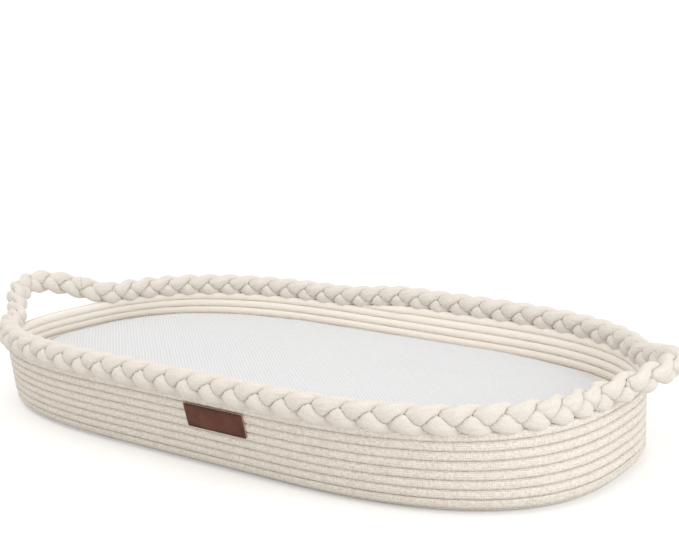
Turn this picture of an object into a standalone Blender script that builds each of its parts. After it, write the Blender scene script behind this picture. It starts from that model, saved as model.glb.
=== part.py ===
"""Oval changing basket wound from cotton rope, with a plaited rim, two loop handles and a foam pad.

Metres, +Z up. The long side runs along X, the side with the label faces -Y, and the floor's
underside is at Z = 0.
"""

import bpy
import bmesh
import numpy as np
from mathutils import Matrix

# Gaps that neighbouring pieces keep
SEAM_GAP = 0.0003
CUT_OVERRUN = 0.002

# Where the middles of the sides and ends lie, in shares of a turn from the middle of the rear side
LEFT_TURN_SHARE = 0.25
FRONT_TURN_SHARE = 0.5
RIGHT_TURN_SHARE = 0.75

# The basket's outer oval, at the floor and at the mouth
FOOT_LENGTH = 0.763
FOOT_WIDTH = 0.423
MOUTH_LENGTH = 0.745
MOUTH_WIDTH = 0.476
MOUTH_HEIGHT = 0.1056
STRAIGHT_HALF = 0.096
FOOT_SQUARENESS = 2.6
MOUTH_SQUARENESS = 2.6

# The wound rope
ROPE_DIAMETER = 0.0090
ROPE_PITCH = 0.0096
CORNER_RADIUS = 0.0096
WALL_HEIGHT = 0.0860
ROPE_LOOPS = 11
POINTS_PER_QUARTER = 6

# The plait on the rim
STRAND_DIAMETER = 0.0090
PLAIT_RISE = 0.0084
PLAIT_DEPTH = 0.0080
PLAIT_SETTLE = 0.0009
PLAIT_WAVES = 24
PLAIT_STEPS = 12
STRANDS = 3
STEP_RUN = 0.110

# The two loop handles, which droop outwards
LOOP_HALF_SPAN = 0.100
GRIP_HALF_SPAN = 0.055
LOOP_SHIFT = 0.040
LEFT_LOOP_RISE = 0.0249
LEFT_LOOP_REACH = 0.0397
RIGHT_LOOP_RISE = 0.0160
RIGHT_LOOP_REACH = 0.0360
LOOP_ROLL = 0.60

# The leather label
LABEL_LENGTH = 0.074
LABEL_HEIGHT = 0.027
LABEL_THICKNESS = 0.0018
LABEL_CENTRE_X = 0.050
LABEL_CENTRE_HEIGHT = 0.0585
LABEL_CORNER = 0.0015

# The pad, which is cut to the narrowest oval that it passes
PAD_END_GAP = 0.0105
PAD_SIDE_GAP = 0.0020
PAD_THICKNESS = 0.0475
PAD_CROWN = 0.003
PAD_SQUARENESS = 2.45
PAD_TOP_RADIUS = 0.006
PAD_BOTTOM_RADIUS = 0.007
SIDE_DRAW = 0.0015
COVER_THICKNESS = 0.0012
WELT_DIAMETER = 0.0026
SEAM_HEIGHT = 0.0100
CROWN_SHARES = (0.85, 0.6, 0.3)
RING_POINTS = 48
ARC_STEPS = 3

# The woven side tag
TAG_LENGTH = 0.060
TAG_HEIGHT = 0.028
TAG_THICKNESS = 0.0010
TAG_CENTRE_X = 0.054

# The cover's zip
ZIP_HEIGHT = 0.027
ZIP_HALF_LENGTH = 0.088
ZIP_SLOT_HEIGHT = 0.004
TAPE_WIDTH = 0.009
TAPE_THICKNESS = 0.0006
TEETH_WIDTH = 0.0034
TEETH_THICKNESS = 0.0012
STOP_LENGTH = 0.0030
SLIDER_LENGTH = 0.0085
SLIDER_WIDTH = 0.0075
SLIDER_THICKNESS = 0.0012
PIVOT_DIAMETER = 0.0020
PIVOT_HEAD_DIAMETER = 0.0034
PIVOT_HEAD_THICKNESS = 0.0005
PIVOT_CLEARANCE = 0.00035
PULL_LENGTH = 0.0165
PULL_WIDTH = 0.0060
PULL_THICKNESS = 0.0009
ROUND_STEPS = 24

# Colours, as linear red, green and blue
ROPE_COLOUR = (0.83, 0.77, 0.69)
PLAIT_COLOUR = (0.87, 0.82, 0.75)
LEATHER_COLOUR = (0.122, 0.056, 0.036)
COVER_COLOUR = (0.82, 0.83, 0.84)
FOAM_COLOUR = (0.90, 0.86, 0.70)
TAG_COLOUR = (0.012, 0.012, 0.012)
ZIP_COLOUR = (0.75, 0.75, 0.75)
METAL_COLOUR = (0.60, 0.60, 0.62)

ROPE_RADIUS = ROPE_DIAMETER / 2
STRAND_RADIUS = STRAND_DIAMETER / 2
PLAIT_HALF_HEIGHT = PLAIT_RISE + STRAND_RADIUS
LOOP_POINTS = 4 * POINTS_PER_QUARTER
PAD_BOTTOM = ROPE_DIAMETER + SEAM_GAP


def lean_share(height):
    """How much of the way from the foot's oval to the mouth's the wall has come, above its corner."""
    corner_top = ROPE_RADIUS + CORNER_RADIUS
    return max(height - corner_top, 0.0) / (MOUTH_HEIGHT - corner_top)


def narrowest(foot, mouth):
    """The least inside size of the wall between the floor and the pad's top."""
    share = lean_share(PAD_BOTTOM + PAD_THICKNESS)
    return min(foot, foot + (mouth - foot) * share) - 2 * ROPE_DIAMETER


PAD_LENGTH = narrowest(FOOT_LENGTH, MOUTH_LENGTH) - 2 * PAD_END_GAP
PAD_WIDTH = narrowest(FOOT_WIDTH, MOUTH_WIDTH) - 2 * PAD_SIDE_GAP


def clear_scene():
    for item in list(bpy.data.objects):
        bpy.data.objects.remove(item, do_unlink=True)


def material(name, colour, roughness, metallic=0.0):
    made = bpy.data.materials.new(name)
    made.use_nodes = True
    shader = made.node_tree.nodes["Principled BSDF"]
    shader.inputs["Base Color"].default_value = (*colour, 1.0)
    shader.inputs["Roughness"].default_value = roughness
    shader.inputs["Metallic"].default_value = metallic
    return made


def add_object(name, data, look):
    made = bpy.data.objects.new(name, data)
    bpy.context.scene.collection.objects.link(made)
    data.materials.append(look)
    return made


def add_mesh(name, points, faces, look):
    mesh = bpy.data.meshes.new(name)
    mesh.from_pydata([tuple(map(float, p)) for p in points], [], faces)
    work = bmesh.new()
    work.from_mesh(mesh)
    bmesh.ops.recalc_face_normals(work, faces=work.faces)
    work.to_mesh(mesh)
    work.free()
    return add_object(name, mesh, look)


def add_tube(name, points, radius, look, closed=False):
    """A round cord along the points, six-sided, with flat ends where it is open."""
    curve = bpy.data.curves.new(name, "CURVE")
    curve.dimensions = "3D"
    spline = curve.splines.new("POLY")
    spline.points.add(len(points) - 1)
    for slot, point in zip(spline.points, points):
        slot.co = (*map(float, point), 1.0)
    spline.use_cyclic_u = closed
    curve.bevel_depth = radius
    curve.bevel_resolution = 1
    curve.use_fill_caps = not closed
    curve.twist_mode = "Z_UP"
    return add_object(name, curve, look)


def carry(name, place, pieces):
    """An empty on a moving piece's axis, with the pieces that move with it."""
    carrier = bpy.data.objects.new(name, None)
    bpy.context.scene.collection.objects.link(carrier)
    carrier.location = place
    for piece in pieces:
        piece.parent = carrier
        piece.matrix_parent_inverse = Matrix.Translation(carrier.location).inverted()


def smooth_step(share):
    share = np.clip(share, 0.0, 1.0)
    return share * share * (3 - 2 * share)


def oval(half_length, half_width, straight, squareness, turn):
    """A point of the oval after a share of a turn, counter-clockwise from the middle of the rear side.

    Each quarter has one straight step along the long side and a quarter of a superellipse.
    """
    quarter, share = divmod(4 * (turn % 1.0), 1.0)
    steps = share * POINTS_PER_QUARTER
    if quarter % 2:
        steps = POINTS_PER_QUARTER - steps
    along = straight * min(steps, 1.0)
    angle = np.pi / 2 * max(steps - 1.0, 0.0) / (POINTS_PER_QUARTER - 1)
    x = along + (half_length - straight) * np.sin(angle) ** (2 / squareness)
    y = half_width * max(np.cos(angle), 0.0) ** (2 / squareness)
    x_sign = -1 if quarter in (0, 1) else 1
    y_sign = 1 if quarter in (0, 3) else -1
    return np.array([x_sign * x, y_sign * y])


def wall_oval(height, inset, turn):
    """The basket's outer oval at a height, drawn in by the inset."""
    share = lean_share(height)
    half_length = (FOOT_LENGTH + (MOUTH_LENGTH - FOOT_LENGTH) * share) / 2
    half_width = (FOOT_WIDTH + (MOUTH_WIDTH - FOOT_WIDTH) * share) / 2
    squareness = FOOT_SQUARENESS + (MOUTH_SQUARENESS - FOOT_SQUARENESS) * share
    return oval(half_length - inset, half_width - inset, STRAIGHT_HALF, squareness, turn)


# The rope's section path: outwards over the floor, round the corner, then up the wall
CORNER_TURNS = np.pi / 4 / np.arcsin(ROPE_PITCH / (2 * CORNER_RADIUS))
WALL_TURNS = (WALL_HEIGHT - 2 * ROPE_RADIUS - CORNER_RADIUS) / ROPE_PITCH
FLOOR_TURNS = ROPE_LOOPS - CORNER_TURNS - WALL_TURNS


def rope_section(turns):
    """How far inside the wall the rope's centre lies, and how high, after a number of turns."""
    if turns < FLOOR_TURNS:
        inset = CORNER_RADIUS + (FLOOR_TURNS - turns) * ROPE_PITCH
        return inset + ROPE_RADIUS, ROPE_RADIUS
    angle = np.pi / 2 * min((turns - FLOOR_TURNS) / CORNER_TURNS, 1.0)
    inset = CORNER_RADIUS * (1 - np.sin(angle))
    height = CORNER_RADIUS * (1 - np.cos(angle))
    climbed = max(turns - FLOOR_TURNS - CORNER_TURNS, 0.0) * ROPE_PITCH
    return inset + ROPE_RADIUS, ROPE_RADIUS + height + climbed


def rope_point(turns, extra_inset=0.0):
    inset, height = rope_section(turns)
    x, y = wall_oval(height, inset + extra_inset, turns)
    return np.array([x, y, height])


def make_rope(look):
    """The whole rope as one unbroken tube, and its least gap to its own neighbouring loop."""
    points = [rope_point(step / LOOP_POINTS) for step in range(ROPE_LOOPS * LOOP_POINTS + 1)]
    add_tube("wall_rope_coil", points, ROPE_RADIUS, look)
    apart = []
    for first in range(len(points) - LOOP_POINTS):
        near = points[first + LOOP_POINTS - 2 : first + LOOP_POINTS + 3]
        for start, end in zip(near[:-1], near[1:]):
            run = end - start
            share = np.clip(np.dot(points[first] - start, run) / np.dot(run, run), 0.0, 1.0)
            apart.append(np.linalg.norm(points[first] - start - share * run))
    print(f"rope coil: least gap to itself {1000 * (min(apart) - ROPE_DIAMETER):.2f} mm")


def make_floor(look):
    """The floor's middle. Its edge winds out by one rope, so the rope's end butts against the step."""
    edge = [rope_point(step / LOOP_POINTS, ROPE_RADIUS + SEAM_GAP) for step in range(LOOP_POINTS + 1)]
    edge[0][0] = SEAM_GAP
    edge[-1][0] = SEAM_GAP
    count = len(edge)
    points = [(p[0], p[1], 0.0) for p in edge] + [(p[0], p[1], ROPE_DIAMETER) for p in edge]
    faces = [tuple(range(count)), tuple(range(count, 2 * count))]
    faces += [(i, (i + 1) % count, count + (i + 1) % count, count + i) for i in range(count)]
    add_mesh("floor_core", points, faces, look)


# The plait's seat on top of the wall, as a dense closed path
SEAT_STEPS = 960


def seat_height(turn):
    """The plait settles on the climbing top loop, and comes down again past the rope's end."""
    _, top = rope_section(ROPE_LOOPS - 1 + turn)
    run = abs(wall_oval(top, ROPE_RADIUS, turn)[0])
    back_down = ROPE_PITCH * (1 - smooth_step(run / STEP_RUN)) if turn < LEFT_TURN_SHARE else 0.0
    return top + ROPE_RADIUS + back_down - PLAIT_SETTLE + PLAIT_HALF_HEIGHT


def closed_lengths(points):
    steps = np.linalg.norm(np.roll(points, -1, axis=0) - points, axis=1)
    return np.concatenate([[0.0], np.cumsum(steps)])


def seat_path():
    rows = []
    for step in range(SEAT_STEPS):
        turn = step / SEAT_STEPS
        height = seat_height(turn)
        x, y = wall_oval(height, ROPE_RADIUS, turn)
        rows.append((x, y, height))
    return np.array(rows)


def directions(points):
    """Unit tangents of a closed path."""
    run = np.roll(points, -1, axis=0) - np.roll(points, 1, axis=0)
    return run / np.linalg.norm(run, axis=1)[:, None]


class Plait:
    """The rim's plait: its middle line, its frame, and the stretches that its strands are cut into."""

    def __init__(self):
        seat = seat_path()
        lengths = closed_lengths(seat)
        whole = lengths[-1]
        tangent = directions(seat)
        outward = np.stack([tangent[:, 1], -tangent[:, 0], 0 * tangent[:, 0]], axis=1)
        outward /= np.linalg.norm(outward, axis=1)[:, None]
        left = lengths[round(LEFT_TURN_SHARE * SEAT_STEPS)] + LOOP_SHIFT
        right = lengths[round(RIGHT_TURN_SHARE * SEAT_STEPS)] + LOOP_SHIFT
        line = seat.copy()
        roll = np.zeros(SEAT_STEPS)
        loops = (
            (left, LEFT_LOOP_REACH, LEFT_LOOP_RISE),
            (right, RIGHT_LOOP_REACH, RIGHT_LOOP_RISE),
        )
        for centre, reach, rise in loops:
            bump = self.bump(lengths[:-1] - centre)
            line += outward * (reach * bump)[:, None]
            line[:, 2] += rise * bump
            roll += LOOP_ROLL * bump
        self.line = line
        self.roll = roll
        self.outward = outward
        self.lengths = closed_lengths(line)
        self.whole = self.lengths[-1]
        marks = np.interp(
            [left - LOOP_HALF_SPAN, left - GRIP_HALF_SPAN, left + GRIP_HALF_SPAN, left + LOOP_HALF_SPAN]
            + [right - LOOP_HALF_SPAN, right - GRIP_HALF_SPAN]
            + [right + GRIP_HALF_SPAN, right + LOOP_HALF_SPAN],
            np.append(lengths[:-1], whole),
            self.lengths,
        )
        self.stretches = {
            "rear_rim": (marks[7] - self.whole, marks[0]),
            "left_rear_foot": (marks[0], marks[1]),
            "left_handle": (marks[1], marks[2]),
            "left_front_foot": (marks[2], marks[3]),
            "front_rim": (marks[3], marks[4]),
            "right_front_foot": (marks[4], marks[5]),
            "right_handle": (marks[5], marks[6]),
            "right_rear_foot": (marks[6], marks[7]),
        }

    @staticmethod
    def bump(along):
        return np.clip(1 - (along / LOOP_HALF_SPAN) ** 2, 0.0, 1.0) ** 2

    def at(self, table, place):
        """A value of a table of the path at one place along it."""
        wrapped = np.vstack([table, table[:1]]) if table.ndim > 1 else np.append(table, table[0])
        place = place % self.whole
        if wrapped.ndim == 1:
            return np.interp(place, self.lengths, wrapped)
        return np.array([np.interp(place, self.lengths, column) for column in wrapped.T])

    def strand_point(self, strand, place):
        step = self.whole / SEAT_STEPS
        middle = self.at(self.line, place)
        ahead = self.at(self.line, place + step) - self.at(self.line, place - step)
        ahead /= np.linalg.norm(ahead)
        out = self.at(self.outward, place)
        out = out - ahead * np.dot(out, ahead)
        out /= np.linalg.norm(out)
        up = np.cross(out, ahead)
        roll = self.at(self.roll, place)
        face = out * np.cos(roll) - up * np.sin(roll)
        high = up * np.cos(roll) + out * np.sin(roll)
        phase = self.phase(strand, place)
        return middle + high * PLAIT_RISE * np.sin(phase) + face * PLAIT_DEPTH * np.sin(2 * phase)

    def phase(self, strand, place):
        return 2 * np.pi * (PLAIT_WAVES * place / self.whole + strand / STRANDS)

    def strand_points(self, strand, start, end):
        """The strand's points between two cuts, one at each twelfth of its wave.

        Each cut lies halfway between two of those points, so that its two faces are square and parallel.
        """
        step = self.whole / PLAIT_WAVES / PLAIT_STEPS
        shift = strand / STRANDS * PLAIT_STEPS
        first = int(np.floor(start / step + shift))
        last = int(np.floor(end / step + shift)) + 1
        points = [self.strand_point(strand, (k - shift) * step) for k in range(first, last + 1)]
        for tip, neighbour in ((0, 1), (-1, -2)):
            run = points[neighbour] - points[tip]
            points[tip] = points[tip] + run / 2 + run / np.linalg.norm(run) * SEAM_GAP
        return points


def make_plait(look):
    """Each handle swings about the line through the outer ends of its two feet."""
    plait = Plait()
    strands = {}
    for name, (start, end) in plait.stretches.items():
        strands[name] = []
        for strand in range(STRANDS):
            points = plait.strand_points(strand, start, end)
            strands[name].append(add_tube(f"{name}_strand_{strand + 1}", points, STRAND_RADIUS, look))
    for side in ("left", "right"):
        rear = plait.stretches[f"{side}_rear_foot"]
        front = plait.stretches[f"{side}_front_foot"]
        outer = (rear[0], front[1]) if side == "left" else (rear[1], front[0])
        ends = [plait.at(plait.line, place) for place in outer]
        carry(f"{side}_handle_hinge", (ends[0] + ends[1]) / 2, strands[f"{side}_handle"])
        print(f"{side} handle hinge: rear {ends[0].round(5)}, front {ends[1].round(5)}")


def make_label(look):
    """A leather patch on the straight part of the front wall, leaning with the wall."""
    foot_y = wall_oval(LABEL_CENTRE_HEIGHT - LABEL_HEIGHT / 2, 0.0, FRONT_TURN_SHARE)[1]
    head_y = wall_oval(LABEL_CENTRE_HEIGHT + LABEL_HEIGHT / 2, 0.0, FRONT_TURN_SHARE)[1]
    lean = np.arctan2(foot_y - head_y, LABEL_HEIGHT)
    work = bmesh.new()
    bmesh.ops.create_cube(work, size=1.0)
    bmesh.ops.scale(work, vec=(LABEL_LENGTH, LABEL_THICKNESS, LABEL_HEIGHT), verts=work.verts)
    upright = [e for e in work.edges if abs(e.verts[0].co.y - e.verts[1].co.y) > LABEL_THICKNESS / 2]
    bmesh.ops.bevel(work, geom=upright, offset=LABEL_CORNER, segments=3, affect="EDGES", profile=0.5)
    mesh = bpy.data.meshes.new("leather_label")
    work.to_mesh(mesh)
    work.free()
    label = add_object("leather_label", mesh, look)
    middle = (foot_y + head_y) / 2 - (SEAM_GAP + LABEL_THICKNESS / 2) / np.cos(lean)
    label.location = (LABEL_CENTRE_X, middle, LABEL_CENTRE_HEIGHT)
    label.rotation_euler = (lean, 0.0, 0.0)


def pad_ring(inset, height, share=1.0):
    half_length = (PAD_LENGTH / 2 - inset) * share
    half_width = (PAD_WIDTH / 2 - inset) * share
    turns = [step / RING_POINTS for step in range(RING_POINTS)]
    plan = [oval(half_length, half_width, STRAIGHT_HALF * share, PAD_SQUARENESS, t) for t in turns]
    return [(x, y, height) for x, y in plan]


def arc_rings(radius, inset, height, up):
    """Rings round a rounded edge, from the side to the flat face."""
    rings = []
    for step in range(1, ARC_STEPS + 1):
        angle = np.pi / 2 * step / ARC_STEPS
        drawn = inset + radius * (1 - np.cos(angle))
        rings.append(pad_ring(drawn, height + up * radius * np.sin(angle)))
    return rings


def upper_rings(depth):
    """The pad's form above the seam, at a depth below the cover's face: side, rounded edge and crown."""
    edge_top = PAD_BOTTOM + PAD_THICKNESS - depth
    half_draw = SIDE_DRAW / 2
    band_low = PAD_BOTTOM + ZIP_HEIGHT - TAPE_WIDTH - TEETH_WIDTH
    band_high = PAD_BOTTOM + ZIP_HEIGHT + TAPE_WIDTH - TEETH_WIDTH
    radius = PAD_TOP_RADIUS - depth
    rings = [pad_ring(SIDE_DRAW + depth, PAD_BOTTOM + SEAM_HEIGHT + WELT_DIAMETER / 2 + SEAM_GAP)]
    rings.append(pad_ring(depth, band_low))
    rings.append(pad_ring(depth, band_high))
    rings += arc_rings(radius, depth + half_draw, edge_top - radius, 1)
    flat_inset = depth + half_draw + radius
    for share in CROWN_SHARES:
        rings.append(pad_ring(flat_inset, edge_top + PAD_CROWN * (1 - share**2), share))
    return rings, (0.0, 0.0, edge_top + PAD_CROWN)


def lower_rings(depth):
    """The pad's form below the seam, from the seam down to the flat underside."""
    radius = PAD_BOTTOM_RADIUS - depth
    rings = [pad_ring(SIDE_DRAW + depth, PAD_BOTTOM + SEAM_HEIGHT - WELT_DIAMETER / 2 - SEAM_GAP)]
    rings += arc_rings(radius, SIDE_DRAW + depth, PAD_BOTTOM + depth + radius, -1)
    return rings


def skin(rings):
    """Side faces between rings that follow each other."""
    faces = []
    for row in range(len(rings) - 1):
        for step in range(RING_POINTS):
            after = (step + 1) % RING_POINTS
            near = row * RING_POINTS
            far = near + RING_POINTS
            faces.append((near + step, near + after, far + after, far + step))
    return faces


def fan(start, tip):
    return [(start + step, start + (step + 1) % RING_POINTS, tip) for step in range(RING_POINTS)]


def make_pad_core(look):
    depth = COVER_THICKNESS + SEAM_GAP
    upper, tip = upper_rings(depth)
    rings = lower_rings(depth)[::-1] + upper
    points = [p for ring in rings for p in ring] + [tip]
    faces = skin(rings) + fan((len(rings) - 1) * RING_POINTS, len(points) - 1)
    faces.append(tuple(range(RING_POINTS)))
    return add_mesh("pad_foam_core", points, faces, look)


def make_pad_covers(look):
    """The quilt-like top with its side band, and the bottom panel, as two open shells."""
    outer, outer_tip = upper_rings(0.0)
    inner, inner_tip = upper_rings(COVER_THICKNESS)
    rings = outer[::-1] + inner
    points = [p for ring in rings for p in ring] + [outer_tip, inner_tip]
    faces = skin(rings) + fan(0, len(points) - 2) + fan((len(rings) - 1) * RING_POINTS, len(points) - 1)
    top = add_mesh("pad_cover_top", points, faces, look)

    outer = lower_rings(0.0)
    inner = lower_rings(COVER_THICKNESS)
    rings = outer[::-1] + inner
    points = [p for ring in rings for p in ring]
    faces = skin(rings)
    faces.append(tuple(range(RING_POINTS)))
    faces.append(tuple(range((len(rings) - 1) * RING_POINTS, len(points))))
    return top, add_mesh("pad_cover_bottom", points, faces, look)


def make_welt(look):
    inset = SIDE_DRAW + COVER_THICKNESS / 2 - WELT_DIAMETER / 2
    ring = pad_ring(inset, PAD_BOTTOM + SEAM_HEIGHT)
    return add_tube("pad_welt", ring, WELT_DIAMETER / 2, look, closed=True)


def box(name, size, centre, look):
    work = bmesh.new()
    bmesh.ops.create_cube(work, size=1.0)
    bmesh.ops.scale(work, vec=size, verts=work.verts)
    mesh = bpy.data.meshes.new(name)
    work.to_mesh(mesh)
    work.free()
    made = add_object(name, mesh, look)
    made.location = centre
    return made


def rod(name, diameter, length, centre, look):
    """A round rod along Y."""
    work = bmesh.new()
    bmesh.ops.create_cone(
        work,
        cap_ends=True,
        segments=ROUND_STEPS,
        radius1=diameter / 2,
        radius2=diameter / 2,
        depth=length,
    )
    mesh = bpy.data.meshes.new(name)
    work.to_mesh(mesh)
    work.free()
    made = add_object(name, mesh, look)
    made.rotation_euler = (np.pi / 2, 0.0, 0.0)
    made.location = centre
    return made


def combine(target, tool, operation):
    """A Boolean with a helper that stays out of the model."""
    tool.hide_render = True
    tool.display_type = "WIRE"
    step = target.modifiers.new(operation.lower(), "BOOLEAN")
    step.operation = operation
    step.object = tool


def make_tag(look):
    height = PAD_BOTTOM + SEAM_HEIGHT + WELT_DIAMETER / 2 + 2 * SEAM_GAP + TAG_HEIGHT / 2
    depth = PAD_WIDTH / 2 + SEAM_GAP + TAG_THICKNESS / 2
    size = (TAG_LENGTH, TAG_THICKNESS, TAG_HEIGHT)
    return box("pad_side_tag", size, (TAG_CENTRE_X, -depth, height), look)


def make_zip(cover, tape_look, metal_look):
    """The cover's zip on the straight part of the rear side: two tapes, teeth, stops, slider and pull."""
    face = PAD_WIDTH / 2
    height = PAD_BOTTOM + ZIP_HEIGHT
    length = 2 * ZIP_HALF_LENGTH
    slot_depth = 2 * (COVER_THICKNESS + CUT_OVERRUN)
    slot = box("zip_slot_cutter", (length, slot_depth, ZIP_SLOT_HEIGHT), (0.0, face, height), tape_look)
    combine(cover, slot, "DIFFERENCE")

    tape_y = face + SEAM_GAP + TAPE_THICKNESS / 2
    tape_offset = TEETH_WIDTH / 2 + SEAM_GAP + TAPE_WIDTH / 2
    tape_size = (length, TAPE_THICKNESS, TAPE_WIDTH)
    fixed = [box("zip_tape_upper", tape_size, (0.0, tape_y, height + tape_offset), tape_look)]
    fixed.append(box("zip_tape_lower", tape_size, (0.0, tape_y, height - tape_offset), tape_look))

    teeth_y = face + SEAM_GAP + TEETH_THICKNESS / 2
    teeth_length = length - 2 * (STOP_LENGTH + SEAM_GAP)
    teeth_size = (teeth_length, TEETH_THICKNESS, TEETH_WIDTH)
    fixed.append(box("zip_teeth", teeth_size, (0.0, teeth_y, height), tape_look))
    stop_x = ZIP_HALF_LENGTH - STOP_LENGTH / 2
    stop_size = (STOP_LENGTH, TEETH_THICKNESS, TEETH_WIDTH)
    fixed.append(box("zip_stop_right", stop_size, (stop_x, teeth_y, height), metal_look))
    fixed.append(box("zip_stop_left", stop_size, (-stop_x, teeth_y, height), metal_look))

    slider_x = ZIP_HALF_LENGTH - STOP_LENGTH - SLIDER_LENGTH / 2
    slider_inner = face + SEAM_GAP + TEETH_THICKNESS + SEAM_GAP
    slider_y = slider_inner + SLIDER_THICKNESS / 2
    slider_size = (SLIDER_LENGTH, SLIDER_THICKNESS, SLIDER_WIDTH)
    slider = box("zip_slider", slider_size, (slider_x, slider_y, height), metal_look)
    pivot_start = slider_inner + SLIDER_THICKNESS / 2
    pull_inner = slider_inner + SLIDER_THICKNESS + SEAM_GAP
    head_inner = pull_inner + PULL_THICKNESS + SEAM_GAP
    head_outer = head_inner + PIVOT_HEAD_THICKNESS
    pivot_centre = (slider_x, (pivot_start + head_outer) / 2, height)
    head_centre = (slider_x, (head_inner + head_outer) / 2, height)
    pivot = rod("zip_pivot", PIVOT_DIAMETER, head_outer - pivot_start, pivot_centre, metal_look)
    head = rod("zip_pivot_head", PIVOT_HEAD_DIAMETER, PIVOT_HEAD_THICKNESS, head_centre, metal_look)
    combine(slider, pivot, "UNION")
    combine(slider, head, "UNION")

    outline = []
    for end, drop in ((1, 0.0), (-1, PULL_LENGTH - PULL_WIDTH)):
        for step in range(ROUND_STEPS // 2 + 1):
            angle = np.pi * step / (ROUND_STEPS // 2)
            x = end * PULL_WIDTH / 2 * np.cos(angle)
            z = end * PULL_WIDTH / 2 * np.sin(angle) - drop
            outline.append((x, z))
    count = len(outline)
    points = [(x, y, z) for y in (-PULL_THICKNESS / 2, PULL_THICKNESS / 2) for x, z in outline]
    faces = [tuple(range(count)), tuple(range(count, 2 * count))]
    faces += [(i, (i + 1) % count, count + (i + 1) % count, count + i) for i in range(count)]
    pull = add_mesh("zip_pull", points, faces, metal_look)
    pull_y = pull_inner + PULL_THICKNESS / 2
    pull.location = (slider_x, pull_y, height)
    bore_size = PIVOT_DIAMETER + 2 * PIVOT_CLEARANCE
    bore_length = PULL_THICKNESS + 2 * CUT_OVERRUN
    bore = rod("zip_pull_bore", bore_size, bore_length, (slider_x, pull_y, height), metal_look)
    combine(pull, bore, "DIFFERENCE")
    return fixed


def main():
    clear_scene()
    rope = material("cotton_rope", ROPE_COLOUR, 0.95)
    plait = material("cotton_plait", PLAIT_COLOUR, 0.95)
    leather = material("brown_leather", LEATHER_COLOUR, 0.55)
    cover = material("waffle_cover", COVER_COLOUR, 0.90)
    foam = material("foam", FOAM_COLOUR, 0.95)
    tag = material("black_tag", TAG_COLOUR, 0.60)
    tape = material("zip_tape", ZIP_COLOUR, 0.80)
    metal = material("zip_metal", METAL_COLOUR, 0.35, 1.0)
    make_floor(rope)
    make_rope(rope)
    make_plait(plait)
    make_label(leather)
    top, bottom = make_pad_covers(cover)
    pieces = [make_pad_core(foam), top, bottom, make_welt(cover), make_tag(tag)]
    pieces += make_zip(top, tape, metal)
    carry("pad_carrier", (0.0, 0.0, PAD_BOTTOM), pieces)


main()
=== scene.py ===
import bmesh
import bpy
import numpy as np
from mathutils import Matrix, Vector


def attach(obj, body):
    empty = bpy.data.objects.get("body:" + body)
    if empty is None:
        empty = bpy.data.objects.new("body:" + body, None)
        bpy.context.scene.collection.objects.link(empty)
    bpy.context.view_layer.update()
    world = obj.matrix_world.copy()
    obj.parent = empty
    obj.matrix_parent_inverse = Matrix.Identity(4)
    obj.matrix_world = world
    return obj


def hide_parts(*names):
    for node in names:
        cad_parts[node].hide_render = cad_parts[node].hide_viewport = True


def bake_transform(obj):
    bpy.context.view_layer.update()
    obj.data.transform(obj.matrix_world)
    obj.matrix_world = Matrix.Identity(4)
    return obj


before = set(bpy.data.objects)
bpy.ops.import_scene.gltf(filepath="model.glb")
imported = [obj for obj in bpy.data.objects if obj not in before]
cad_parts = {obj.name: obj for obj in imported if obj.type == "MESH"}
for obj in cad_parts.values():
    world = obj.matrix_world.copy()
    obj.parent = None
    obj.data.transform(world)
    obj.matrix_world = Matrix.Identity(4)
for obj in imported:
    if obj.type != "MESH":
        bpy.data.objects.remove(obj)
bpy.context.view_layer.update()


# Helpers for materials. Each makes one or a few shader nodes in a tree and returns their
# output, so that a look reads as a list of what is mixed with what.

def part_of(tree, kind, **values):
    """A shader node with its settings, and its sockets linked or set."""
    made = tree.nodes.new(kind)
    for key, value in values.pop("settings", {}).items():
        setattr(made, key, value)
    for key, value in values.items():
        by_number = key[0] == "s" and key[1:].isdigit()
        feed(tree, made.inputs[int(key[1:])] if by_number else made.inputs[key], value)
    return made.outputs


def feed(tree, slot, value):
    """Links a node's output to a socket, or sets a plain value on it."""
    if hasattr(value, "is_output"):
        tree.links.new(value, slot)
    else:
        slot.default_value = value


def math_of(tree, operation, first, second=0.0, third=0.0):
    settings = {"operation": operation}
    return part_of(tree, "ShaderNodeMath", settings=settings, s0=first, s1=second, s2=third)[0]


def product_of(tree, first, second):
    return math_of(tree, "MULTIPLY", first, second)


def weighted(tree, value, factor, onto):
    """A value times a factor, added onto another value."""
    return math_of(tree, "MULTIPLY_ADD", value, factor, onto)


def wave_of(tree, value, length):
    """A sine wave over a value, with the given wavelength."""
    return math_of(tree, "SINE", product_of(tree, value, 2 * np.pi / length))


def ramp_of(tree, value, low, high, start=0.0, end=1.0):
    """A smooth step of a value between two marks."""
    return part_of(
        tree, "ShaderNodeMapRange", settings={"interpolation_type": "SMOOTHSTEP"},
        s0=value, s1=low, s2=high, s3=start, s4=end,
    )[0]


def tint_of(tree, share, first, second):
    """A mix of two colours, given as three numbers or as a node's output."""
    made = tree.nodes.new("ShaderNodeMix")
    made.data_type = "RGBA"
    for slot, value in ((0, share), (6, first), (7, second)):
        feed(tree, made.inputs[slot], (*value, 1.0) if isinstance(value, tuple) else value)
    return made.outputs[2]


def graded(tree, value, low, high, first, second):
    """A smooth run from one colour to another as a value passes two marks."""
    return tint_of(tree, ramp_of(tree, value, low, high), first, second)


def touched_up(tree, base, noise, low, high, share, colour):
    """A colour with a share of another one where a noise is high."""
    return tint_of(tree, product_of(tree, ramp_of(tree, noise, low, high), share), base, colour)


def place_of(tree):
    """The point on the object at rest."""
    return part_of(tree, "ShaderNodeTexCoord")["Object"]


def axes_of(tree, vector):
    return part_of(tree, "ShaderNodeSeparateXYZ", Vector=vector)


def map_of(tree, name):
    return part_of(tree, "ShaderNodeUVMap", settings={"uv_map": name})[0]


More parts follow.
